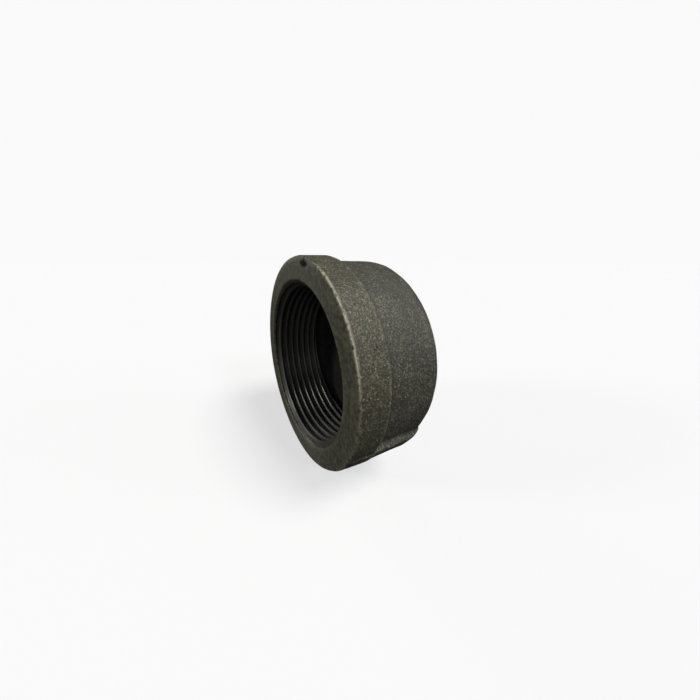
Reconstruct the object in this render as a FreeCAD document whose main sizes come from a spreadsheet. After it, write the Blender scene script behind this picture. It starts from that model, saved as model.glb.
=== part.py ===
import FreeCAD, Part
import math
import os

import Sketcher

# A malleable-iron pipe cap, 1 1/2 inch size, lying on its side.
# The cap's axis is the Y axis: the open mouth faces -Y and the closed end faces +Y.
# The origin is the middle of the machined mouth face.  Millimetres, +Z up.
# The real cap is one iron casting with a thread cut into it, so there is one sub-part.

BORE_SECTORS = 8        # the bore is cut sector by sector, which leaves its wall in eight faces
RIBS = 2                # grip ribs, spread evenly round the body
CLOSE = 1e-3            # how near a length has to be to count as the same, in millimetres
LEAST_CUT = 1000.0      # the least iron that cutting the thread takes away, in cubic millimetres

DRIVING_SIZES = [
    # name, millimetres or degrees, what it is
    ("overall_height", 27.5, "mouth face to the crown of the closed end"),
    ("band_diameter", 60.0, "outside of the band round the mouth"),
    ("band_width", 7.8, "length of the band along the axis"),
    ("body_front_diameter", 57.5, "body where it leaves the band"),
    ("body_back_diameter", 56.6, "body where the crown begins"),
    ("crown_rise", 3.7, "bulge of the closed end"),
    ("crown_edge_radius", 3.8, "rounding between the body and the crown"),
    ("band_edge_radius", 0.7, "rounding of the band's two outer edges"),
    ("step_radius", 0.9, "fillet where the body meets the band"),
    ("thread_minor", 44.845, "crest diameter of the Rp 1 1/2 internal thread"),
    ("thread_major", 47.803, "root diameter of the Rp 1 1/2 internal thread"),
    ("thread_pitch", 2.309, "11 threads to the inch"),
    ("thread_length", 17.6, "mouth face to the end of the thread"),
    ("thread_flat", 0.385, "width of the flat on each thread crest and root"),
    ("thread_lead_in", 2.4, "how far outside the mouth the thread cutter starts"),
    ("thread_run_out", 0.96, "how far past the end of the thread the cutter runs"),
    ("thread_overlap", 0.4, "how far the thread cutter stands inside the bore"),
    ("mouth_diameter", 48.5, "outer edge of the chamfer in the mouth"),
    ("relief_diameter", 48.8, "cast hollow behind the thread"),
    ("hollow_side_depth", 20.9, "mouth face to where the hollow's floor begins"),
    ("hollow_depth", 23.3, "mouth face to the middle of the hollow's floor"),
    ("hollow_edge_radius", 2.4, "rounding between the hollow's wall and its floor"),
    ("rib_diameter", 59.9, "across the backs of the two grip ribs"),
    ("rib_root_diameter", 54.0, "how deep a rib reaches into the body"),
    ("rib_end", 22.8, "mouth face to the far end of a rib"),
    ("rib_slope", 3.9, "length of the slope at a rib's far end"),
    ("rib_span", 10.0, "angle that a rib covers round the axis"),
    ("rib_angle", 28.0, "how far the front rib sits below the level"),
    ("rib_edge_radius", 0.4, "rounding along a rib's back"),
]

doc = FreeCAD.newDocument("pipe_cap")
sizes = doc.addObject("Spreadsheet::Sheet", "sizes")
for row, (name, value, meaning) in enumerate(DRIVING_SIZES, start=1):
    sizes.set("A%d" % row, meaning)
    sizes.set("B%d" % row, str(value))
    sizes.setAlias("B%d" % row, name)
doc.recompute()


# ------------------------------------------------------------------ lengths
# A length is a pair: its present value, and the expression that keeps it bound
# to the spreadsheet.

ZERO = (0.0, None)


def full(name):
    """A driving size."""
    return (float(sizes.get(name)), "sizes." + name)


def half(name):
    """Half of a driving size, for a radius."""
    value, expression = full(name)
    return (value / 2.0, expression + " / 2")


def less(whole, taken):
    """One length minus another."""
    return (whole[0] - taken[0], "%s - (%s)" % (whole[1], taken[1]))


def more(first, second):
    """Two lengths added."""
    return (first[0] + second[0], "%s + %s" % (first[1], second[1]))


def minus(length):
    """A length measured the other way."""
    return (-length[0], "-(%s)" % length[1])


# ----------------------------------------------------------------- sketches
def origin_feature(body, role):
    """The origin plane or axis of a body that has the given role."""
    for feature in body.Origin.OriginFeatures:
        if feature.Role == role:
            return feature
    raise ValueError("no origin feature called " + role)


def arc_about_axis(start, end):
    """The arc between two points whose centre is on the sketch's vertical axis."""
    drop = end.y - start.y
    centre_y = (end.x ** 2 - start.x ** 2 + end.y ** 2 - start.y ** 2) / (2.0 * drop)
    centre = FreeCAD.Vector(0, centre_y, 0)
    radius = (start - centre).Length
    middle = (start + end) * 0.5 - centre
    middle = middle.normalize() * radius + centre
    return Part.Arc(start, middle, end)


def pin(sketch, corner, direction, length):
    """Hold one coordinate of a corner at a length that follows the spreadsheet."""
    value, expression = length
    if expression is None:
        axis = -2 if direction == "DistanceX" else -1
        sketch.addConstraint(Sketcher.Constraint("PointOnObject", corner, 1, axis))
        return
    index = sketch.addConstraint(
        Sketcher.Constraint(direction, -1, 1, corner, 1, value))
    sketch.setExpression("Constraints[%d]" % index, expression)


def section_sketch(body, name, corners, crown=None):
    """A closed half section in the XY plane: x is the distance from the axis, y runs along it.

    The side that starts at corner number crown is an arc with its centre on the axis.
    """
    sketch = body.newObject("Sketcher::SketchObject", name)
    sketch.AttachmentSupport = [(origin_feature(body, "XY_Plane"), "")]
    sketch.MapMode = "FlatFace"

    points = [FreeCAD.Vector(x[0], y[0], 0) for x, y in corners]
    count = len(points)
    for number, start in enumerate(points):
        end = points[(number + 1) % count]
        if number == crown:
            sketch.addGeometry(arc_about_axis(start, end))
        else:
            sketch.addGeometry(Part.LineSegment(start, end))
    for number in range(count):
        following = (number + 1) % count
        sketch.addConstraint(Sketcher.Constraint("Coincident", number, 2, following, 1))
    if crown is not None:
        sketch.addConstraint(Sketcher.Constraint("PointOnObject", crown, 3, -2))
    for number, (x, y) in enumerate(corners):
        pin(sketch, number, "DistanceX", x)
        pin(sketch, number, "DistanceY", y)
    doc.recompute()
    if sketch.solve() != 0:
        raise ValueError("the sketch %s does not solve" % name)
    return sketch


# ----------------------------------------------------------------- features
def finish_feature(body, feature):
    """Make a feature the body's tip and recompute, keeping the seams between its faces."""
    if hasattr(feature, "Refine"):
        feature.Refine = False
    body.Tip = feature
    doc.recompute()
    if not feature.isValid() or feature.Shape.isNull():
        raise ValueError("the feature %s failed" % feature.Name)
    return feature


def turned_feature(body, kind, name, sketch, angle=360.0):
    """A Revolution or a Groove of a section about the cap's axis."""
    feature = body.newObject("PartDesign::" + kind, name)
    feature.Profile = sketch
    feature.ReferenceAxis = (origin_feature(body, "Y_Axis"), [""])
    feature.Angle = angle
    return feature


def pattern_round_axis(body, name, original, occurrences):
    """Repeat a feature evenly round the cap's axis."""
    pattern = body.newObject("PartDesign::PolarPattern", name)
    pattern.Originals = [original]
    pattern.Axis = (origin_feature(body, "Y_Axis"), [""])
    pattern.Angle = 360.0
    pattern.Occurrences = occurrences
    return finish_feature(body, pattern)


def circle_edges(shape, radius, along):
    """Names of the edges that are circles about the cap's axis with this radius and place."""
    found = []
    for number, edge in enumerate(shape.Edges, start=1):
        if edge.Degenerated or not isinstance(edge.Curve, Part.Circle):
            continue
        same_radius = abs(edge.Curve.Radius - radius) < CLOSE
        same_place = abs(edge.Curve.Center.y - along) < CLOSE
        if same_radius and same_place:
            found.append("Edge%d" % number)
    return found


def rib_back_edges(shape, radius):
    """Names of the straight edges that run along the cap at this distance from its axis."""
    found = []
    for number, edge in enumerate(shape.Edges, start=1):
        if edge.Degenerated or not isinstance(edge.Curve, Part.Line):
            continue
        ends = [vertex.Point for vertex in edge.Vertexes]
        if all(abs(math.hypot(end.x, end.z) - radius) < CLOSE for end in ends):
            found.append("Edge%d" % number)
    return found


def fillet(body, name, edges, radius_name):
    """Round some edges of the body so far."""
    if not edges:
        raise ValueError("no edges were found for " + name)
    base = body.Tip
    feature = body.newObject("PartDesign::Fillet", name)
    feature.Base = (base, edges)
    feature.Radius = full(radius_name)[0]
    feature.setExpression("Radius", full(radius_name)[1])
    return finish_feature(body, feature)


# ------------------------------------------------------------------ the cap
body = doc.addObject("PartDesign::Body", "cap_casting")
body.Label = "cap_casting"

crown_start = less(full("overall_height"), full("crown_rise"))
outline = section_sketch(body, "outline", [
    (ZERO, ZERO),
    (half("band_diameter"), ZERO),
    (half("band_diameter"), full("band_width")),
    (half("body_front_diameter"), full("band_width")),
    (half("body_back_diameter"), crown_start),
    (ZERO, full("overall_height")),
], crown=4)
casting = turned_feature(body, "Revolution", "casting", outline)
finish_feature(body, casting)

band_radius = half("band_diameter")[0]
band_width = full("band_width")[0]
step_edge = circle_edges(casting.Shape, half("body_front_diameter")[0], band_width)
fillet(body, "step_root", step_edge, "step_radius")
crown_edge = circle_edges(body.Tip.Shape, half("body_back_diameter")[0], crown_start[0])
fillet(body, "crown_edge", crown_edge, "crown_edge_radius")
band_edges = circle_edges(body.Tip.Shape, band_radius, 0.0)
band_edges += circle_edges(body.Tip.Shape, band_radius, band_width)
fillet(body, "band_edges", band_edges, "band_edge_radius")

# The ribs run from inside the band to just short of the crown, with a sloping far end.
rib_back_end = less(full("rib_end"), full("rib_slope"))
rib_section = section_sketch(body, "rib_section", [
    (half("rib_root_diameter"), half("band_width")),
    (half("rib_diameter"), half("band_width")),
    (half("rib_diameter"), rib_back_end),
    (half("rib_root_diameter"), full("rib_end")),
])
rib_section.AttachmentOffset = FreeCAD.Placement(
    FreeCAD.Vector(0, 0, 0), FreeCAD.Rotation(FreeCAD.Vector(0, 1, 0), 1.0))
rib_section.setExpression("AttachmentOffset.Rotation.Angle", "sizes.rib_angle")
rib = turned_feature(body, "Revolution", "rib", rib_section)
rib.Midplane = True
rib.setExpression("Angle", "sizes.rib_span")
finish_feature(body, rib)
pattern_round_axis(body, "ribs", rib, RIBS)
rib_edges = rib_back_edges(body.Tip.Shape, half("rib_diameter")[0])
fillet(body, "rib_edges", rib_edges, "rib_edge_radius")

# Inside: the cast hollow, the chamfered mouth, and the bore that is tapped.
hollow_section = section_sketch(body, "hollow_section", [
    (ZERO, full("thread_length")),
    (half("relief_diameter"), full("thread_length")),
    (half("relief_diameter"), full("hollow_side_depth")),
    (ZERO, full("hollow_depth")),
], crown=2)
hollow = turned_feature(body, "Groove", "hollow", hollow_section)
finish_feature(body, hollow)
hollow_edge = circle_edges(hollow.Shape, half("relief_diameter")[0],
                           full("hollow_side_depth")[0])
fillet(body, "hollow_edge", hollow_edge, "hollow_edge_radius")

chamfer_depth = less(half("mouth_diameter"), half("thread_minor"))
mouth_section = section_sketch(body, "mouth_section", [
    (ZERO, ZERO),
    (half("mouth_diameter"), ZERO),
    (half("thread_minor"), chamfer_depth),
    (ZERO, chamfer_depth),
])
mouth = turned_feature(body, "Groove", "mouth", mouth_section)
finish_feature(body, mouth)

bore_end = less(full("hollow_side_depth"), full("hollow_edge_radius"))
bore_section = section_sketch(body, "bore_section", [
    (ZERO, ZERO),
    (half("thread_minor"), ZERO),
    (half("thread_minor"), bore_end),
    (ZERO, bore_end),
])
bore = turned_feature(body, "Groove", "bore", bore_section, 360.0 / BORE_SECTORS)
finish_feature(body, bore)
pattern_round_axis(body, "bore_sectors", bore, BORE_SECTORS)

# The cutter is a 55-degree thread form with a flat tip, swept along the bore from outside
# the mouth into the hollow.  It leaves an equally narrow flat crest between its turns.
groove_low = minus(full("thread_lead_in"))
groove_half = less(half("thread_pitch"), half("thread_flat"))
tip_half = half("thread_flat")
cutter_inside = less(half("thread_minor"), full("thread_overlap"))
thread_section = section_sketch(body, "thread_section", [
    (cutter_inside, less(groove_low, groove_half)),
    (half("thread_minor"), less(groove_low, groove_half)),
    (half("thread_major"), less(groove_low, tip_half)),
    (half("thread_major"), more(groove_low, tip_half)),
    (half("thread_minor"), more(groove_low, groove_half)),
    (cutter_inside, more(groove_low, groove_half)),
])
thread = body.newObject("PartDesign::SubtractiveHelix", "thread")
thread.Profile = thread_section
thread.ReferenceAxis = (origin_feature(body, "Y_Axis"), [""])
thread.Mode = "pitch-height-angle"
thread.Angle = 0
thread.setExpression("Pitch", "sizes.thread_pitch")
thread.setExpression("Height", "sizes.thread_length + sizes.thread_lead_in + sizes.thread_run_out")
volume_before_thread = body.Shape.Volume
finish_feature(body, thread)

# --------------------------------------------------------- checks and files
if body.Shape.Volume > volume_before_thread - LEAST_CUT:
    raise ValueError("the thread cutter missed the bore")
for item in doc.Objects:
    if "Invalid" in item.State or "Error" in item.State:
        raise ValueError("%s failed: %s" % (item.Label, item.State))
shape = body.Shape
if shape.isNull() or not shape.isValid() or len(shape.Solids) != 1:
    raise ValueError(body.Label + " is not one valid solid")
print("%s: %.0f cubic mm, %d faces" % (body.Label, shape.Volume, len(shape.Faces)))

os.makedirs("parts", exist_ok=True)
shape.exportStep(os.path.join("parts", body.Label + ".step"))
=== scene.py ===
import math

import bpy
import numpy as np
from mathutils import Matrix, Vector


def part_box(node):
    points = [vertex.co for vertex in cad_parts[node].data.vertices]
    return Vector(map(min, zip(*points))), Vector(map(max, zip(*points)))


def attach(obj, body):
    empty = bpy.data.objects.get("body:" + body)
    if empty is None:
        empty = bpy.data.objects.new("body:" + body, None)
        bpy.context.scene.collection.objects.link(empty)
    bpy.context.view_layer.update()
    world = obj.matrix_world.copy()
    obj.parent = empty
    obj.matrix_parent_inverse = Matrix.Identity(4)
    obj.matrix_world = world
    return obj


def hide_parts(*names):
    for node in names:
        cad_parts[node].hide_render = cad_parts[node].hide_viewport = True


# The looks of the pipe cap: one closed mesh over the CAD casting, its iron, the floor, the
# lights and the camera.  The cap's axis is Y, its mouth faces -Y and +Z is up.  The world
# is in metres, and the cap's own sizes below are in millimetres.

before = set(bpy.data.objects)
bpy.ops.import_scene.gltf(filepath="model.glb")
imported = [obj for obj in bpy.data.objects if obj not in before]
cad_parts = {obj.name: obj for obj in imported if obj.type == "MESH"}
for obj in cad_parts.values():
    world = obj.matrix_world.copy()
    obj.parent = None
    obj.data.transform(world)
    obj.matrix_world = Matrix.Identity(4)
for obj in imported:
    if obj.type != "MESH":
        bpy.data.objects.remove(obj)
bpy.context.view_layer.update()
low_corner, high_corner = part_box("cap_casting")

MM = 0.001

# ------------------------------------------------------------------ sizes of the cap
HEIGHT = high_corner.y / MM
BAND_RADIUS = high_corner.x / MM
BAND_WIDTH = 7.8
FACE_EDGE = 0.25            # crisp corner between the machined face and the band
FACE_EDGE_PULL = 0.25       # how far that corner is rubbed away where it is softest
PULL_REACH = 1.3            # how far from the corner the rubbing is felt
BAND_BACK_EDGE = 0.6
STEP_FILLET = 0.4
STEP_TILT = 0.3             # the step leans back at the top, as the mould left it
BODY_FRONT = 28.7
BODY_BACK = 28.3
CROWN_RISE = 3.8
CROWN_EDGE = 3.5
MOUTH_RADIUS = 24.25        # outer edge of the chamfer
MOUTH_CORNER = 0.2
MOUTH_FALL = 1.1            # how much narrower the chamfer gets per millimetre of depth
CHAMFER_BLEND = 0.25        # softness where the thread runs out into the chamfer
THREAD_CREST = 22.42
THREAD_ROOT = 23.90
THREAD_PITCH = 2.309
THREAD_START = -2.4         # a root of the thread at angle 0
THREAD_END = 17.6
THREAD_ROUNDING = 0.9       # share of a round wave in the thread; the rest has flat flanks
THREAD_CUT = 1.2            # the flat-sided wave is this much too high and is cut off level
RELIEF_RADIUS = 24.4
HOLLOW_SIDE = 20.9          # depth at the foot of the hollow's wall
HOLLOW_DEPTH = 23.3         # depth at the middle of its domed floor
HOLLOW_EDGE = 2.4

RIB_RADIUS = 30.2           # at the band; it falls a little towards the closed end
RIB_DRAFT = 0.025
RIB_ANGLES = (math.radians(-28.0), math.radians(152.0))
RIB_HALF_WIDTH = 2.1
RIB_FLANK_SLOPE = 1.5       # fall per millimetre down the sides
RIB_END = 19.8              # where the rib begins to fall away to the closed end
RIB_END_SLOPE = 0.45
RIB_TIP = 23.0              # where it dives into the rounded edge of the closed end
RIB_TIP_SLOPE = 1.5
RIB_ROUNDING = 0.4
RIB_FRONT = 1.5             # where the rib begins to rise out of the band
RIB_FRONT_LENGTH = 5.0
RIB_FRONT_DROP = 0.4        # how much lower it is there
RIB_BLEND = 0.85            # softness of the corner between a rib and the body
RIB_FIRST = 1.0             # nearer to the mouth than this the skin has no rib
RIB_REACH = 1.6             # how many edge radii a rib may run in over the closed end

# The uneven cast skin: layers of (height, size of the lumps, seed of their random draw).
RELIEF = ((0.07, 11.0, 3), (0.05, 4.0, 4), (0.035, 1.7, 5), (0.02, 0.9, 6))
RELIEF_START = 1.2          # depth from the mouth at which the skin is fully uneven

# The face's outer corner is crisp on the +X side and partly so on the other side; where it is
# crisp, its bright line is partly a painted highlight.
CRISP_CENTRE = 0.25         # radians
CRISP_REACH = math.radians(62.0)
CRISP_FADE = 0.25
LESS_CRISP = 0.6
LESS_CRISP_CENTRE = math.radians(200.0)

# Wear and painted light: the bright line along that corner, partly rubbed bare and partly a
# painted highlight, the thread's rubbed crests, a painted highlight on the band's back edge, and
# painted shade in the corner behind the band.
LINE_PLACE = FACE_EDGE * 0.4    # distance from where the face and the band would meet
LINE_HALF_WIDTH = 0.24
LINE_CORE = 0.1                 # share of that half width that is fully bare
LINE_DIMMEST = 0.2              # strength on the lower half of the cap
LINE_FADE = 0.5                 # radians over which it brightens to the upper half
CREST_WEAR = 0.45
CREST_REACH = 0.8               # how far down from the crests it shows
BACK_HIGHLIGHT = 0.13
BACK_INSET = 0.05               # below the band's surface
BACK_SETBACK = 0.6              # in front of the band's back
BACK_REACH = 0.5
# Painted shade: the skin is darkened in the corner behind the band, where the band shades the
# body.
BEHIND_BAND_SHADE = 0.6
SHADE_SETBACK = 0.5             # behind the band's back
SHADE_REACH = 2.5
SHADE_HEIGHT = 0.6              # above the body; higher up there is none

COLUMNS = 430               # mesh columns round the cap, closest together across the ribs
RIB_COLUMNS = 2.0           # how much closer
RIB_ZONE = math.radians(8.0)
ROWS_PER_PITCH = 13
SKIN_STEP = 0.5             # widest spacing of the mesh rows elsewhere
CROWN_RINGS = 36
CROWN_EDGE_ROWS = 9
STEP_ROWS = 5               # round the band's back edge, and in the fillet behind it
FACE_EDGE_ROWS = 4
MOUTH_CORNER_ROWS = 3
FLOOR_RINGS = 16
FLOOR_EDGE_ROWS = 6
DOME_MARGIN = 1.02          # a dome's rings stop this many edge radii before its corner

SKIN, FACE, THREAD, HOLLOW = range(4)


# ------------------------------------------------------------------ the half section
# A section is a list of (y, r, zone) points from the middle of the closed end, over the
# outside, across the mouth face, down the thread and to the middle of the hollow's floor.

def straight(start, end, zone, step):
    """Evenly spaced points from start up to, but not including, end."""
    start, end = np.array(start), np.array(end)
    count = max(1, int(math.ceil(np.linalg.norm(end - start) / step)))
    return [(*(start + (end - start) * k / count), zone) for k in range(count)]


def rounded(before, corner, after, radius, zone, count):
    """The arc that rounds a corner, both of its ends included."""
    before, corner, after = np.array(before), np.array(corner), np.array(after)
    first = (before - corner) / np.linalg.norm(before - corner)
    last = (after - corner) / np.linalg.norm(after - corner)
    half_angle = math.acos(np.clip(first @ last, -1, 1)) / 2
    middle = (first + last) / np.linalg.norm(first + last)
    centre = corner + middle * radius / math.sin(half_angle)
    begin = corner + first * radius / math.tan(half_angle) - centre
    finish = corner + last * radius / math.tan(half_angle) - centre
    sweep = math.acos(np.clip(begin @ finish / radius ** 2, -1, 1))
    points = []
    for k in range(count + 1):
        share = k / count
        blend = math.sin((1 - share) * sweep) * begin + math.sin(share * sweep) * finish
        points.append((*(centre + blend / math.sin(sweep)), zone))
    return points


def dome(edge_r, edge_y, rise, count):
    """(y, r) points of a shallow dome from its middle out to its edge."""
    sphere = (edge_r ** 2 + rise ** 2) / (2 * rise)
    points = []
    for k in range(1, count + 1):
        r = edge_r * k / count
        points.append((edge_y + rise - sphere + math.sqrt(sphere ** 2 - r ** 2), r))
    return points


def outside_section():
    """From the middle of the closed end to the corner between the band and the face."""
    crown_y = HEIGHT - CROWN_RISE
    crown = dome(BODY_BACK, crown_y, CROWN_RISE, CROWN_RINGS)
    inner = [p for p in crown if p[1] < BODY_BACK - CROWN_EDGE * DOME_MARGIN]
    section = [(*p, SKIN) for p in inner]
    body_back = (crown_y, BODY_BACK)
    body_front = (BAND_WIDTH, BODY_FRONT)
    band_back = (BAND_WIDTH, BAND_RADIUS)
    band_front = (0.0, BAND_RADIUS)
    mouth = (0.0, MOUTH_RADIUS)
    edges = [
        (inner[-1], body_back, body_front, CROWN_EDGE, CROWN_EDGE_ROWS),
        (body_back, body_front, band_back, STEP_FILLET, STEP_ROWS),
        (body_front, band_back, band_front, BAND_BACK_EDGE, STEP_ROWS),
    ]
    for before, corner, after, radius, count in edges:
        arc = rounded(before, corner, after, radius, SKIN, count)
        if len(section) > len(inner):
            section += straight(section[-1][:2], arc[0][:2], SKIN, SKIN_STEP)[1:]
        section += arc
    corner = rounded(band_back, band_front, mouth, FACE_EDGE, FACE, FACE_EDGE_ROWS)
    section += straight(section[-1][:2], corner[0][:2], SKIN, SKIN_STEP)[1:]
    section += corner
    return section


def inside_section():
    """From that corner across the face and down the thread to the middle of the floor."""
    mouth = (0.0, MOUTH_RADIUS)
    face_outer = (0.0, BAND_RADIUS - FACE_EDGE)
    chamfer_end = ((MOUTH_RADIUS - THREAD_CREST) / MOUTH_FALL, THREAD_CREST)
    corner = rounded(face_outer, mouth, chamfer_end, MOUTH_CORNER, FACE, MOUTH_CORNER_ROWS)
    section = straight(face_outer, corner[0][:2], FACE, SKIN_STEP)[1:]
    section += corner
    first = corner[-1][0]
    rows = int(round((THREAD_END - first) / THREAD_PITCH * ROWS_PER_PITCH))
    for k in range(1, rows + 1):
        section.append((first + (THREAD_END - first) * k / rows, THREAD_CREST, THREAD))
    wall_top = (THREAD_END + 0.1, RELIEF_RADIUS)
    wall_bottom = (HOLLOW_SIDE, RELIEF_RADIUS)
    base = dome(RELIEF_RADIUS, HOLLOW_SIDE, HOLLOW_DEPTH - HOLLOW_SIDE, FLOOR_RINGS)
    base = [p for p in base if p[1] < RELIEF_RADIUS - HOLLOW_EDGE * DOME_MARGIN]
    section += straight(wall_top, (HOLLOW_SIDE - HOLLOW_EDGE, RELIEF_RADIUS), HOLLOW, SKIN_STEP)
    section += rounded(wall_top, wall_bottom, base[-1], HOLLOW_EDGE, HOLLOW, FLOOR_EDGE_ROWS)
    section += [(*p, HOLLOW) for p in reversed(base)]
    return section


# ------------------------------------------------------------------ shaping
def smooth_step(x):
    """A ramp from 0 at 0 to 1 at 1 that starts and ends level."""
    x = np.clip(x, 0.0, 1.0)
    return x * x * (3 - 2 * x)


def smooth_max(a, b, softness):
    """The larger of two fields, with the crease between them rounded."""
    share = np.clip(0.5 + 0.5 * (a - b) / softness, 0.0, 1.0)
    return b + (a - b) * share + softness * share * (1 - share)


def lumps(points, size, seed):
    """A smooth random field between -1 and 1 whose features are about one size across."""
    table = np.random.default_rng(seed).uniform(-1, 1, (32, 32, 32))
    cell = np.floor(points / size).astype(int)
    inside = smooth_step(points / size - cell)
    total = np.zeros(points.shape[:-1])
    for corner in np.ndindex(2, 2, 2):
        weight = np.ones(points.shape[:-1])
        for axis in range(3):
            part = inside[..., axis]
            weight = weight * (part if corner[axis] else 1 - part)
        index = (cell + np.array(corner)) % 32
        total += weight * table[index[..., 0], index[..., 1], index[..., 2]]
    return total


def column_angles():
    """The angle of each mesh column, closest together across the ribs."""
    fine = np.linspace(0, 2 * math.pi, 7201)
    density = np.ones(fine.shape)
    for centre in RIB_ANGLES:
        density += RIB_COLUMNS * (np.abs(turned_by(fine, centre)) < RIB_ZONE)
    reached = np.concatenate([[0], np.cumsum((density[1:] + density[:-1]) / 2)])
    return np.interp(np.arange(COLUMNS) / COLUMNS * reached[-1], reached, fine)


def turned_by(angle, centre):
    """The angle from centre to angle, between minus and plus half a turn."""
    return (angle - centre + math.pi) % (2 * math.pi) - math.pi


def round_axis(r, y, angle):
    """Points at these radii, depths and angles round the cap's axis."""
    return np.stack([r * np.cos(angle), y, r * np.sin(angle)], axis=-1)


def thread_radius(y, theta):
    """Radius of the internal thread: a right-handed helix, rounded at crest and root."""
    phase = ((y - THREAD_START) / THREAD_PITCH + theta / (2 * math.pi)) % 1.0
    sharp = np.clip((np.abs(2 * phase - 1) * 2 - 1) * THREAD_CUT, -1, 1)
    soft = np.cos(2 * math.pi * phase)
    wave = (1 - THREAD_ROUNDING) * sharp + THREAD_ROUNDING * soft
    return (THREAD_ROOT + THREAD_CREST) / 2 + wave * (THREAD_ROOT - THREAD_CREST) / 2


def rib_radius(y, theta):
    """Radius of the two grip ribs: a flat top, steep sides and a sloping far end."""
    highest = np.zeros(y.shape)
    end_fall = smooth_max(RIB_END_SLOPE * (y - RIB_END), 0.0, RIB_ROUNDING * 2)
    end_fall += smooth_max(RIB_TIP_SLOPE * (y - RIB_TIP), 0.0, RIB_ROUNDING * 2)
    end_fall += RIB_FRONT_DROP * (1 - smooth_step((y - RIB_FRONT) / RIB_FRONT_LENGTH))
    end_fall += RIB_DRAFT * (y - BAND_WIDTH)
    for centre in RIB_ANGLES:
        away = np.abs(turned_by(theta, centre)) * RIB_RADIUS
        side_fall = smooth_max(RIB_FLANK_SLOPE * (away - RIB_HALF_WIDTH), 0.0, RIB_ROUNDING)
        highest = np.maximum(highest, RIB_RADIUS - end_fall - side_fall)
    return highest


def edge_crispness(theta):
    """1 where the face's outer corner is crisp and carries a painted highlight, 0 where it is
    rubbed soft.
    """
    inside = CRISP_REACH - np.abs(turned_by(theta, CRISP_CENTRE))
    crisp_side = smooth_step(inside / CRISP_FADE)
    other_side = LESS_CRISP * smooth_step(1.0 - np.abs(turned_by(theta, LESS_CRISP_CENTRE)))
    return np.maximum(crisp_side, other_side)


def cast_relief(points):
    """The height of the uneven cast skin, in layers of smaller and lower lumps."""
    return sum(height * lumps(points, size, seed) for height, size, seed in RELIEF)


def wear_and_light_field(r, y, angle, from_corner, rows):
    """How bare of oxide each point is, and where highlight is painted on the face's corner and the
    band's back edge; below 0 it is painted shade instead.
    """
    threaded = rows == THREAD
    # Painted highlight: the corner's bright line is stronger on the upper half and on the crisp
    # side, partly rubbed bare iron.
    upper = smooth_step(turned_by(angle, 0.0) / LINE_FADE)
    line = smooth_step(1 + LINE_CORE - np.abs(from_corner - LINE_PLACE) / LINE_HALF_WIDTH)
    line = line * edge_crispness(angle) * (LINE_DIMMEST + (1 - LINE_DIMMEST) * upper)
    crest = CREST_WEAR * smooth_step((THREAD_CREST + CREST_REACH - r) / CREST_REACH)
    # Painted highlight: a faint lighter line on the band's back edge.
    from_back = np.hypot(r - BAND_RADIUS + BACK_INSET, y - BAND_WIDTH + BACK_SETBACK)
    back_highlight = BACK_HIGHLIGHT * smooth_step(1 - from_back / BACK_REACH)
    from_foot = np.abs(y - BAND_WIDTH - SHADE_SETBACK)
    low = (rows == SKIN) & (r < BODY_FRONT + SHADE_HEIGHT)
    # Painted shade in the corner behind the band.
    painted_shade = BEHIND_BAND_SHADE * smooth_step(1 - from_foot / SHADE_REACH) * low
    return np.where(threaded, crest, np.maximum(line, back_highlight) - painted_shade)


def shape_cap():
    """The cap's grid of points, the zone of each row, and the wear and painted light at each
    point.
    """
    section = outside_section() + inside_section()
    y_row, r_row = np.array([p[:2] for p in section]).T
    zone = np.array([p[2] for p in section])
    along = np.gradient(np.column_stack([y_row, r_row]), axis=0)
    along /= np.linalg.norm(along, axis=1)[:, None]
    normal_y = along[:, 1][:, None]
    normal_r = -along[:, 0][:, None]

    angle, y = np.meshgrid(column_angles(), y_row)
    r = np.repeat(r_row[:, None], COLUMNS, axis=1)
    rows = zone[:, None]

    # Ribs, on the band, the body and the rounded edge of the closed end.
    sides = (rows == SKIN) & (y > RIB_FIRST) & (r > BODY_BACK - CROWN_EDGE * RIB_REACH)
    r = np.where(sides, np.maximum(r, smooth_max(rib_radius(y, angle), r, RIB_BLEND)), r)
    # The leaning step.
    tilt = smooth_step(y / BAND_WIDTH) * smooth_step((HEIGHT - y) / (HEIGHT - BAND_WIDTH))
    y = np.where(rows == SKIN, y + STEP_TILT * np.sin(angle) * tilt, y)
    # The thread, which begins in the chamfer.
    threaded = rows == THREAD
    chamfer = MOUTH_RADIUS - MOUTH_FALL * y
    r = np.where(threaded, smooth_max(thread_radius(y, angle), chamfer, CHAMFER_BLEND), r)

    # The face's outer corner, rubbed away where it isn't crisp.
    from_corner = np.hypot(r - BAND_RADIUS, y)
    rubbed = 1 - edge_crispness(angle)
    pull = FACE_EDGE_PULL * rubbed * smooth_step(1 - from_corner / PULL_REACH)
    r = np.where(threaded, r, r - pull)
    y = np.where(threaded, y, y + pull)

    # The uneven skin, along the section's own normal.
    relief = cast_relief(round_axis(r, y, angle)) * smooth_step(y / RELIEF_START)
    relief = np.where((rows == SKIN) | (rows == HOLLOW), relief, 0.0)
    r = r + relief * normal_r
    y = y + relief * normal_y
    wear_and_light = wear_and_light_field(r, y, angle, from_corner, rows)
    return round_axis(r, y, angle) * MM, zone, wear_and_light


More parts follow.
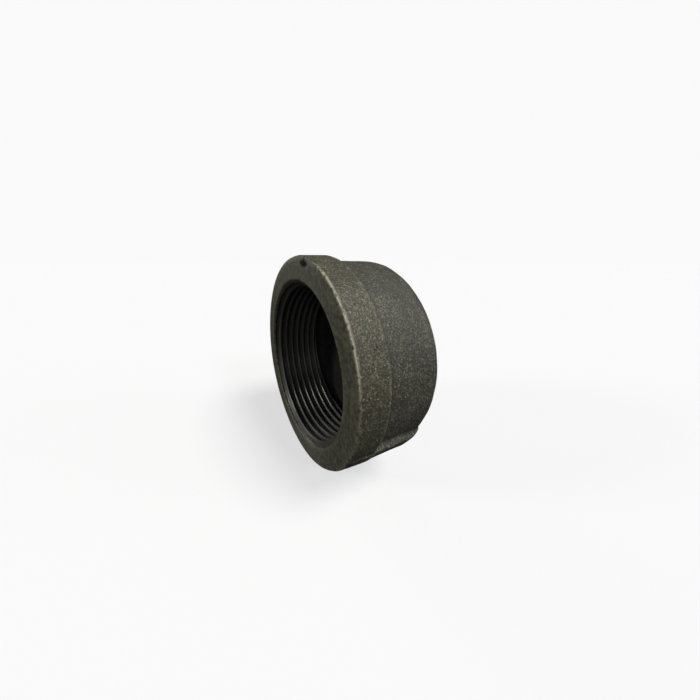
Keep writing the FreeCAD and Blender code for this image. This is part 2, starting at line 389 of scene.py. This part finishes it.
def grid_mesh(name, points, zone, wear_and_light):
    """One closed mesh from a grid whose first and last rows close in a pole."""
    rows, columns = points.shape[:2]
    first_pole = np.array([0.0, points[0, :, 1].mean(), 0.0])
    last_pole = np.array([0.0, points[-1, :, 1].mean(), 0.0])
    vertices = np.vstack([points.reshape(-1, 3), first_pole, last_pole])
    number = np.arange(rows * columns).reshape(rows, columns)
    turned = np.roll(number, -1, axis=1)
    quads = np.stack([number[:-1], number[1:], turned[1:], turned[:-1]], axis=-1).reshape(-1, 4)
    pole = rows * columns
    faces = quads.tolist()
    faces += [[pole, int(a), int(b)] for a, b in zip(number[0], turned[0])]
    faces += [[pole + 1, int(b), int(a)] for a, b in zip(number[-1], turned[-1])]
    mesh = bpy.data.meshes.new(name)
    mesh.from_pydata(vertices.tolist(), [], faces)

    slots = np.minimum(zone[:-1], zone[1:]).repeat(columns)
    slots = np.concatenate([slots, [SKIN] * columns, [HOLLOW] * columns])
    mesh.polygons.foreach_set("material_index", slots.astype(np.int32))
    mesh.polygons.foreach_set("use_smooth", np.ones(len(faces), bool))
    wear_and_light_layer = mesh.attributes.new("wear_and_light", "FLOAT", "POINT")
    wear_and_light_layer.data.foreach_set("value", np.concatenate([wear_and_light.ravel(), [0, 0]]).astype(np.float32))
    mesh.update()
    mesh.validate()
    return mesh


# ------------------------------------------------------------------ materials
# Colours are linear red, green and blue.
SKIN_DARK = (0.050, 0.047, 0.033, 1.0)
SKIN_LIGHT = (0.190, 0.180, 0.130, 1.0)
BODY_DARK = (0.046, 0.045, 0.037, 1.0)       # the skin behind the band is a little cooler, and a little darker as painted shade
BODY_LIGHT = (0.172, 0.168, 0.136, 1.0)
SKIN_GLINT = (0.42, 0.40, 0.34, 1.0)
SKIN_PIT = (0.014, 0.011, 0.009, 1.0)
# The colour of the painted shade behind the band.
SKIN_SHADE = (0.040, 0.041, 0.036, 1.0)
BARE_IRON_AND_HIGHLIGHT = (0.52, 0.485, 0.38, 1.0)
FACE_DARK = (0.052, 0.053, 0.036, 1.0)
FACE_LIGHT = (0.128, 0.128, 0.098, 1.0)
SHEEN_DARK = (0.088, 0.087, 0.073, 1.0)       # painted reflection: the face is lighter and less olive towards its bottom
SHEEN_LIGHT = (0.180, 0.178, 0.153, 1.0)
THREAD_DARK = (0.075, 0.075, 0.077, 1.0)
THREAD_LIGHT = (0.105, 0.105, 0.104, 1.0)
THREAD_CREST_IRON = (0.14, 0.14, 0.137, 1.0)
FLAW_RUST = (0.016, 0.008, 0.007, 1.0)
HOLLOW_DARK = (0.007, 0.0078, 0.0088, 1.0)
HOLLOW_LIGHT = (0.021, 0.021, 0.022, 1.0)

# Two marks on the machined face, a real flaw and a painted reflection: a place, and the distances
# where each begins and is full.
FLAW = (4.0 * MM, 0.0, 28.2 * MM)             # a small casting flaw
FLAW_STRETCH = (0.45, 1.0, 1.0)               # it is wider than it is high
FLAW_RAGGED = 0.8 * MM                        # how uneven its edge is
FLAW_BEGINS = 1.8 * MM
FLAW_FULL = 0.9 * MM
SHEEN_PATCH = (7.0 * MM, 0.0, -27.0 * MM)
SHEEN_BEGINS = 22.0 * MM
SHEEN_FULL = 5.0 * MM
ACROSS_AXIS = (1.0, 0.0, 1.0)                 # measures distances square to the cap's axis


class Nodes:
    """A material's node tree, with short ways to add and join its nodes."""

    def __init__(self, name):
        self.material = bpy.data.materials.new(name)
        self.material.use_nodes = True
        self.tree = self.material.node_tree
        self.shader = self.tree.nodes["Principled BSDF"]
        self.place = self.add("ShaderNodeTexCoord").outputs["Object"]

    def add(self, kind, **settings):
        node = self.tree.nodes.new(kind)
        for key, value in settings.items():
            setattr(node, key, value)
        return node

    def join(self, source, target):
        if isinstance(source, bpy.types.NodeSocket):
            self.tree.links.new(source, target)
        else:
            target.default_value = source

    def noise(self, size_mm, detail=2.0, roughness=0.5):
        """Noise between 0 and 1 with features of about this size."""
        node = self.add("ShaderNodeTexNoise")
        self.join(self.place, node.inputs["Vector"])
        node.inputs["Scale"].default_value = 0.6 / (size_mm * MM)
        node.inputs["Detail"].default_value = detail
        node.inputs["Roughness"].default_value = roughness
        return node.outputs["Fac"]

    def cells(self, size_mm, feature="F1"):
        """Distance from the middle of the nearest of many cells of about this size."""
        node = self.add("ShaderNodeTexVoronoi", feature=feature)
        self.join(self.place, node.inputs["Vector"])
        node.inputs["Scale"].default_value = 1.0 / (size_mm * MM)
        return node.outputs["Distance"]

    def rings(self, size_mm):
        """Noise that depends only on the distance from the cap's axis, as a lathe leaves."""
        noise = self.add("ShaderNodeTexNoise", noise_dimensions="1D")
        self.join(self.distance((0.0, 0.0, 0.0), ACROSS_AXIS), noise.inputs["W"])
        noise.inputs["Scale"].default_value = 1.0 / (size_mm * MM)
        noise.inputs["Detail"].default_value = 2.0
        return noise.outputs["Fac"]

    def distance(self, centre, stretch):
        """Distance from a place, with the space round it stretched along each axis."""
        offset = self.add("ShaderNodeVectorMath", operation="SUBTRACT")
        self.join(self.place, offset.inputs[0])
        offset.inputs[1].default_value = centre
        scaled = self.add("ShaderNodeVectorMath", operation="MULTIPLY")
        self.join(offset.outputs[0], scaled.inputs[0])
        scaled.inputs[1].default_value = stretch
        length = self.add("ShaderNodeVectorMath", operation="LENGTH")
        self.join(scaled.outputs[0], length.inputs[0])
        return length.outputs["Value"]

    def depth(self):
        """How far behind the plane of the mouth."""
        node = self.add("ShaderNodeSeparateXYZ")
        self.join(self.place, node.inputs[0])
        return node.outputs["Y"]

    def span(self, value, from_low, from_high, to_low=0.0, to_high=1.0):
        """A smooth ramp of a field, level outside from_low and from_high."""
        node = self.add("ShaderNodeMapRange")
        node.interpolation_type = "SMOOTHSTEP"
        self.join(value, node.inputs["Value"])
        node.inputs["From Min"].default_value = from_low
        node.inputs["From Max"].default_value = from_high
        node.inputs["To Min"].default_value = to_low
        node.inputs["To Max"].default_value = to_high
        return node.outputs["Result"]

    def sum(self, *terms):
        """A weighted sum of fields given as (weight, field) pairs."""
        total = None
        for weight, field in terms:
            node = self.add("ShaderNodeMath", operation="MULTIPLY_ADD")
            self.join(field, node.inputs[0])
            node.inputs[1].default_value = weight
            node.inputs[2].default_value = 0.0
            if total is not None:
                self.join(total, node.inputs[2])
            total = node.outputs[0]
        return total

    def times(self, a, b):
        node = self.add("ShaderNodeMath", operation="MULTIPLY")
        self.join(a, node.inputs[0])
        self.join(b, node.inputs[1])
        return node.outputs[0]

    def mix(self, share, low_colour, high_colour):
        node = self.add("ShaderNodeMix", data_type="RGBA")
        self.join(share, node.inputs["Factor"])
        self.join(low_colour, node.inputs[6])
        self.join(high_colour, node.inputs[7])
        return node.outputs[2]

    def bump(self, height, distance_mm, strength):
        node = self.add("ShaderNodeBump")
        node.inputs["Distance"].default_value = distance_mm * MM
        node.inputs["Strength"].default_value = strength
        self.join(height, node.inputs["Height"])
        return node.outputs["Normal"]

    def wear_and_light(self):
        """The mesh's own record of where the oxide is rubbed off and where highlight and shade are
        painted.
        """
        node = self.add("ShaderNodeAttribute", attribute_name="wear_and_light")
        return node.outputs["Fac"]

    def finish(self, colour, roughness, normal, metallic=0.0, specular=0.5):
        self.join(colour, self.shader.inputs["Base Color"])
        self.join(roughness, self.shader.inputs["Roughness"])
        self.join(normal, self.shader.inputs["Normal"])
        self.join(metallic, self.shader.inputs["Metallic"])
        self.join(specular, self.shader.inputs["Specular IOR Level"])
        return self.material


def cast_skin():
    """Sand-cast iron with a dark oxide coat: a sandy grain, glints, soft blotches and pits."""
    n = Nodes("cast_skin")
    behind = n.span(n.depth(), (BAND_WIDTH - 1) * MM, (BAND_WIDTH + 3) * MM)
    grain = n.noise(0.27, detail=1.0, roughness=0.6)
    sand = n.cells(0.44, feature="SMOOTH_F1")
    coarse = n.noise(1.1, detail=2.0)
    blotch = n.noise(7.0, detail=3.0)
    share = n.span(n.sum((1.0, grain), (-0.35, sand), (0.45, coarse), (0.35, blotch)), 0.62, 1.18)
    # Behind the band the skin turns cooler, and a little darker as painted shade.
    dark = n.mix(behind, SKIN_DARK, BODY_DARK)
    light = n.mix(behind, SKIN_LIGHT, BODY_LIGHT)
    colour = n.mix(share, dark, light)
    glint = n.times(n.span(n.cells(0.85), 0.28, 0.15), n.span(grain, 0.46, 0.60))
    glint = n.times(glint, n.span(n.depth(), 8.0 * MM, 22.0 * MM, 0.55, 0.2))
    colour = n.mix(glint, colour, SKIN_GLINT)
    pit = n.span(n.cells(2.3), 0.13, 0.07)
    colour = n.mix(n.times(pit, 0.8), colour, SKIN_PIT)
    # Bare iron, and painted highlights along the face's corner and the band's back edge.
    colour = n.mix(n.times(n.wear_and_light(), n.span(coarse, 0.3, 0.55)), colour, BARE_IRON_AND_HIGHLIGHT)
    # Painted shade: darker skin in the corner behind the band.
    painted_shade = n.times(n.span(n.wear_and_light(), 0.0, -0.8), n.span(coarse, 0.2, 0.5))
    colour = n.mix(painted_shade, colour, SKIN_SHADE)
    height = n.sum((1.0, grain), (-0.45, sand), (0.5, coarse), (-0.5, pit), (0.3, glint))
    normal = n.bump(height, 0.13, 1.0)
    roughness = n.span(grain, 0.3, 0.7, 0.62, 0.45)
    return n.finish(colour, roughness, normal)


def machined_face():
    """Faced-off iron, dulled by oil and oxide, with faint turning marks and a small flaw."""
    n = Nodes("machined_face")
    marks = n.rings(0.3)
    worn_rings = n.rings(1.6)
    grain = n.noise(0.5, detail=2.0)
    coarse = n.noise(1.0, detail=2.0)
    blotch = n.noise(5.0, detail=3.0, roughness=0.6)
    share = n.sum((0.4, blotch), (0.8, grain), (0.7, coarse), (0.1, marks), (0.3, worn_rings))
    share = n.span(share, 0.88, 1.42)
    # Painted reflection: the face turns lighter towards its bottom, where the floor would be seen
    # in it.
    sheen = n.span(n.distance(SHEEN_PATCH, ACROSS_AXIS), SHEEN_BEGINS, SHEEN_FULL)
    dark = n.mix(sheen, FACE_DARK, SHEEN_DARK)
    light = n.mix(sheen, FACE_LIGHT, SHEEN_LIGHT)
    colour = n.mix(share, dark, light)
    from_flaw = n.sum((1.0, n.distance(FLAW, FLAW_STRETCH)), (FLAW_RAGGED, grain))
    spot = n.span(from_flaw, FLAW_BEGINS, FLAW_FULL)
    colour = n.mix(n.times(spot, 0.7), colour, FLAW_RUST)
    broken = n.span(n.sum((0.6, grain), (0.4, coarse)), 0.34, 0.52)
    # The corner's bright line: partly rubbed bare iron, partly a painted highlight.
    colour = n.mix(n.times(n.wear_and_light(), broken), colour, BARE_IRON_AND_HIGHLIGHT)
    normal = n.bump(n.sum((0.2, marks), (0.8, grain), (0.5, coarse), (-1.0, spot)), 0.05, 0.8)
    roughness = n.span(blotch, 0.3, 0.7, 0.48, 0.6)
    return n.finish(colour, roughness, normal, specular=n.span(spot, 0.0, 1.0, 0.5, 0.0))


def tapped_thread():
    """Cut thread, darkened by oil, with crests rubbed a little brighter."""
    n = Nodes("tapped_thread")
    grain = n.noise(0.5, detail=2.0)
    blotch = n.noise(4.0, detail=3.0)
    colour = n.mix(n.span(n.sum((0.6, blotch), (0.4, grain)), 0.3, 0.7), THREAD_DARK, THREAD_LIGHT)
    colour = n.mix(n.wear_and_light(), colour, THREAD_CREST_IRON)
    mouth = n.span(n.depth(), 1.5 * MM, 0.4 * MM)
    colour = n.mix(mouth, colour, n.mix(n.span(grain, 0.35, 0.65), FACE_DARK, FACE_LIGHT))
    normal = n.bump(n.sum((0.4, grain), (1.0, blotch)), 0.03, 0.15)
    roughness = n.span(blotch, 0.3, 0.7, 0.30, 0.38)
    return n.finish(colour, roughness, normal, metallic=0.35, specular=0.7)


def cast_hollow():
    """The rough, dark casting inside, behind the thread."""
    n = Nodes("cast_hollow")
    grain = n.noise(0.5, detail=3.0)
    coarse = n.noise(2.5, detail=3.0)
    total = n.sum((0.5, grain), (0.5, coarse))
    colour = n.mix(n.span(total, 0.3, 0.7), HOLLOW_DARK, HOLLOW_LIGHT)
    normal = n.bump(n.sum((0.5, grain), (1.0, coarse)), 0.25, 0.9)
    return n.finish(colour, 0.8, normal, specular=0.25)


# ------------------------------------------------------------------ the cap
cap = bpy.data.objects.new("pipe_cap", grid_mesh("pipe_cap", *shape_cap()))
bpy.context.scene.collection.objects.link(cap)
for material in (cast_skin(), machined_face(), tapped_thread(), cast_hollow()):
    cap.data.materials.append(material)
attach(cap, "root")
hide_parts("cap_casting")


# ------------------------------------------------------------------ studio
# Each lamp is (name, azimuth, elevation, strength, softness, colour): angles in degrees,
# where azimuth 0 is -Y and 90 is +X.
WARM = (1.0, 0.985, 0.86)
LAMPS = (
    ("key", 130.0, 62.5, 2.22, 26.0, WARM),
    ("front", 343.0, 22.0, 0.80, 10.0, WARM),
    ("left", 288.0, 9.0, 0.65, 60.0, WARM),
    ("inside", 46.0, 20.0, 0.28, 30.0, WARM),
    ("glint", 105.0, 38.0, 0.50, 12.0, (1.0, 1.0, 1.0)),
    ("rim", 150.0, 18.0, 0.26, 25.0, (0.92, 0.97, 1.0)),
)
WORLD_LIGHT = (0.074, 0.076, 0.092, 1.0)
FLOOR_SIZE = 6.0
FLOOR_GLOW = 0.025          # what the floor sends back up to the cap
PALE = 0.955                # how bright the floor and the space behind it look
SHADOW_SHARE = 0.35         # the part of that brightness that a shadow can take away

LENS = 12.14                # millimetres, on a sensor of the width below
SENSOR_WIDTH = 36.0
CAMERA_PLACE = Vector((58.656, -23.869, 29.841)) * MM
CAMERA_AZIMUTH = 65.68      # of the line from what it looks at to the camera
CAMERA_ELEVATION = 22.51
CAMERA_SHIFT = (0.0623, 0.005)


def grey(value):
    return (value, value, value, 1.0)


def seen_and_lit(tree, seen, lit, output):
    """One shader for what the camera sees directly, another for the light that it gives."""
    path = tree.nodes.new("ShaderNodeLightPath")
    mix = tree.nodes.new("ShaderNodeMixShader")
    tree.links.new(path.outputs["Is Camera Ray"], mix.inputs["Fac"])
    tree.links.new(lit, mix.inputs[1])
    tree.links.new(seen, mix.inputs[2])
    tree.links.new(mix.outputs["Shader"], output)


def floor():
    """A floor that looks evenly pale, takes a soft shadow and sends a little light back."""
    half = FLOOR_SIZE / 2
    z = low_corner.z
    corners = [(-half, -half, z), (half, -half, z), (half, half, z), (-half, half, z)]
    mesh = bpy.data.meshes.new("floor")
    mesh.from_pydata(corners, [], [(0, 1, 2, 3)])
    made = bpy.data.objects.new("floor", mesh)
    bpy.context.scene.collection.objects.link(made)
    material = bpy.data.materials.new("pale_floor")
    material.use_nodes = True
    tree = material.node_tree
    tree.nodes.remove(tree.nodes["Principled BSDF"])
    shaded = tree.nodes.new("ShaderNodeBsdfDiffuse")
    for channel in range(3):
        reaches = WORLD_LIGHT[channel] + sum(
            strength * colour[channel] * math.sin(math.radians(elevation)) / math.pi
            for _, _, elevation, strength, _, colour in LAMPS)
        shaded.inputs["Color"].default_value[channel] = PALE * SHADOW_SHARE / reaches
    glow = tree.nodes.new("ShaderNodeEmission")
    glow.inputs["Color"].default_value = grey(PALE * (1 - SHADOW_SHARE))
    seen = tree.nodes.new("ShaderNodeAddShader")
    tree.links.new(shaded.outputs[0], seen.inputs[0])
    tree.links.new(glow.outputs[0], seen.inputs[1])
    lit = tree.nodes.new("ShaderNodeEmission")
    lit.inputs["Color"].default_value = grey(FLOOR_GLOW)
    output = tree.nodes["Material Output"].inputs["Surface"]
    seen_and_lit(tree, seen.outputs[0], lit.outputs[0], output)
    mesh.materials.append(material)


def surroundings():
    """A pale space behind the cap and a faint light from all round."""
    world = bpy.data.worlds.new("studio")
    bpy.context.scene.world = world
    world.use_nodes = True
    tree = world.node_tree
    tree.nodes.clear()
    seen = tree.nodes.new("ShaderNodeBackground")
    seen.inputs["Color"].default_value = grey(PALE)
    lit = tree.nodes.new("ShaderNodeBackground")
    lit.inputs["Color"].default_value = WORLD_LIGHT
    output = tree.nodes.new("ShaderNodeOutputWorld").inputs["Surface"]
    seen_and_lit(tree, seen.outputs[0], lit.outputs[0], output)


def direction(azimuth, elevation):
    a = math.radians(azimuth)
    e = math.radians(elevation)
    return Vector((math.sin(a) * math.cos(e), -math.cos(a) * math.cos(e), math.sin(e)))


def lamp(name, azimuth, elevation, strength, softness, colour):
    light = bpy.data.lights.new(name, "SUN")
    light.energy = strength
    light.color = colour
    light.angle = math.radians(softness)
    made = bpy.data.objects.new(name, light)
    made.rotation_euler = direction(azimuth, elevation).to_track_quat("Z", "Y").to_euler()
    bpy.context.scene.collection.objects.link(made)


def camera():
    """A close, wide view: the lens is only about 7 cm from the middle of the mouth."""
    data = bpy.data.cameras.new("camera")
    data.sensor_width = SENSOR_WIDTH
    data.lens = LENS
    data.shift_x, data.shift_y = CAMERA_SHIFT
    data.clip_start = 0.002
    data.clip_end = 20.0
    made = bpy.data.objects.new("camera", data)
    made.location = CAMERA_PLACE
    towards = direction(CAMERA_AZIMUTH, CAMERA_ELEVATION)
    made.rotation_euler = towards.to_track_quat("Z", "Y").to_euler()
    bpy.context.scene.collection.objects.link(made)
    bpy.context.scene.camera = made


floor()
surroundings()
for settings in LAMPS:
    lamp(*settings)
camera()
bpy.context.scene.view_settings.view_transform = "Standard"
